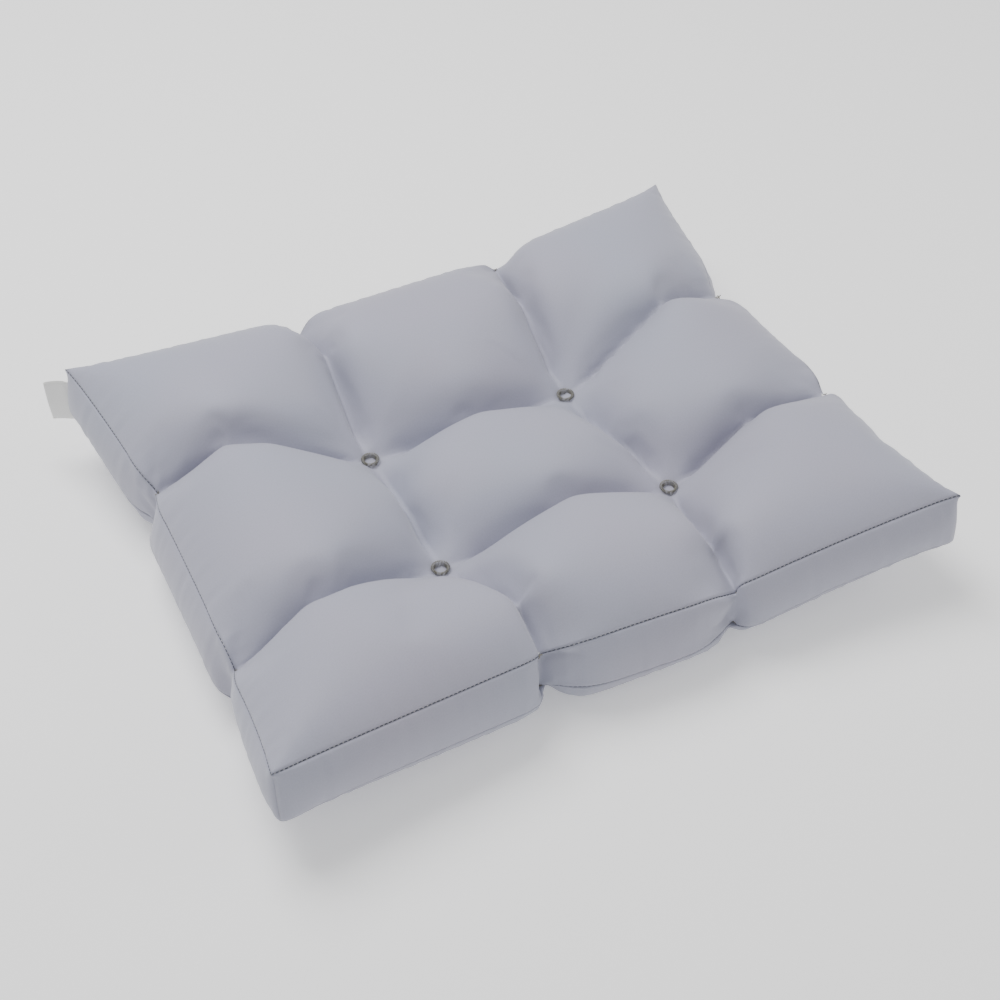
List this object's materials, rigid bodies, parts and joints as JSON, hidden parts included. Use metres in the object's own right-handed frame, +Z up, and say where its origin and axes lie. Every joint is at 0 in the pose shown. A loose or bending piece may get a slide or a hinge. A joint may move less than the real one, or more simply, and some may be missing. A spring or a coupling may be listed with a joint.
{
  "type": "tufted chair seat pad",
  "caption": "Boxed, fibre-filled chair seat pad in grey fabric, tufted through into puffy pillows, with tacked edges and a sewn-in care label.",
  "frame": {"origin": "middle of the face that the pad rests on, under the middle pillow", "axes": "+X along the front edge towards the right end, +Y from the front edge to the back edge, +Z up from the seat through the pad"},
  "size_m": [0.5181, 0.4131, 0.095],
  "materials": {
    "cover_fabric": "fine plain-woven polyester microfibre, soft sheen",
    "fibre_filling": "loose white polyester fibre wadding",
    "seam_thread": "matt grey spun polyester sewing thread",
    "tufting_thread": "grey-brown heavy tufting thread",
    "label_satin": "plain white polyester satin ribbon, blank"
  },
  "bodies": {
    "pad": {"top_panel": "cover_fabric", "bottom_panel": "cover_fabric", "border_strip": "cover_fabric", "fibre_fill": "fibre_filling", "top_seam_thread": "seam_thread", "bottom_seam_thread": "seam_thread", "border_join_thread": "seam_thread", "closing_thread": "seam_thread", "tuft_front_left": "tufting_thread", "tuft_front_right": "tufting_thread", "tuft_back_left": "tufting_thread", "tuft_back_right": "tufting_thread", "edge_tack_front_left": "tufting_thread", "edge_tack_front_right": "tufting_thread", "edge_tack_right_front": "tufting_thread", "edge_tack_right_back": "tufting_thread", "edge_tack_back_left": "tufting_thread", "edge_tack_back_right": "tufting_thread", "edge_tack_left_front": "tufting_thread", "edge_tack_left_back": "tufting_thread"},
    "label": {"care_label": "label_satin"}
  },
  "joints": [
    {"name": "label_bend", "type": "hinge", "parent": "pad", "child": "label", "pos_m": [-0.25, 0.2, 0.055], "axis": [0, 0, 1], "range_deg": [-70, 70]}
  ]
}
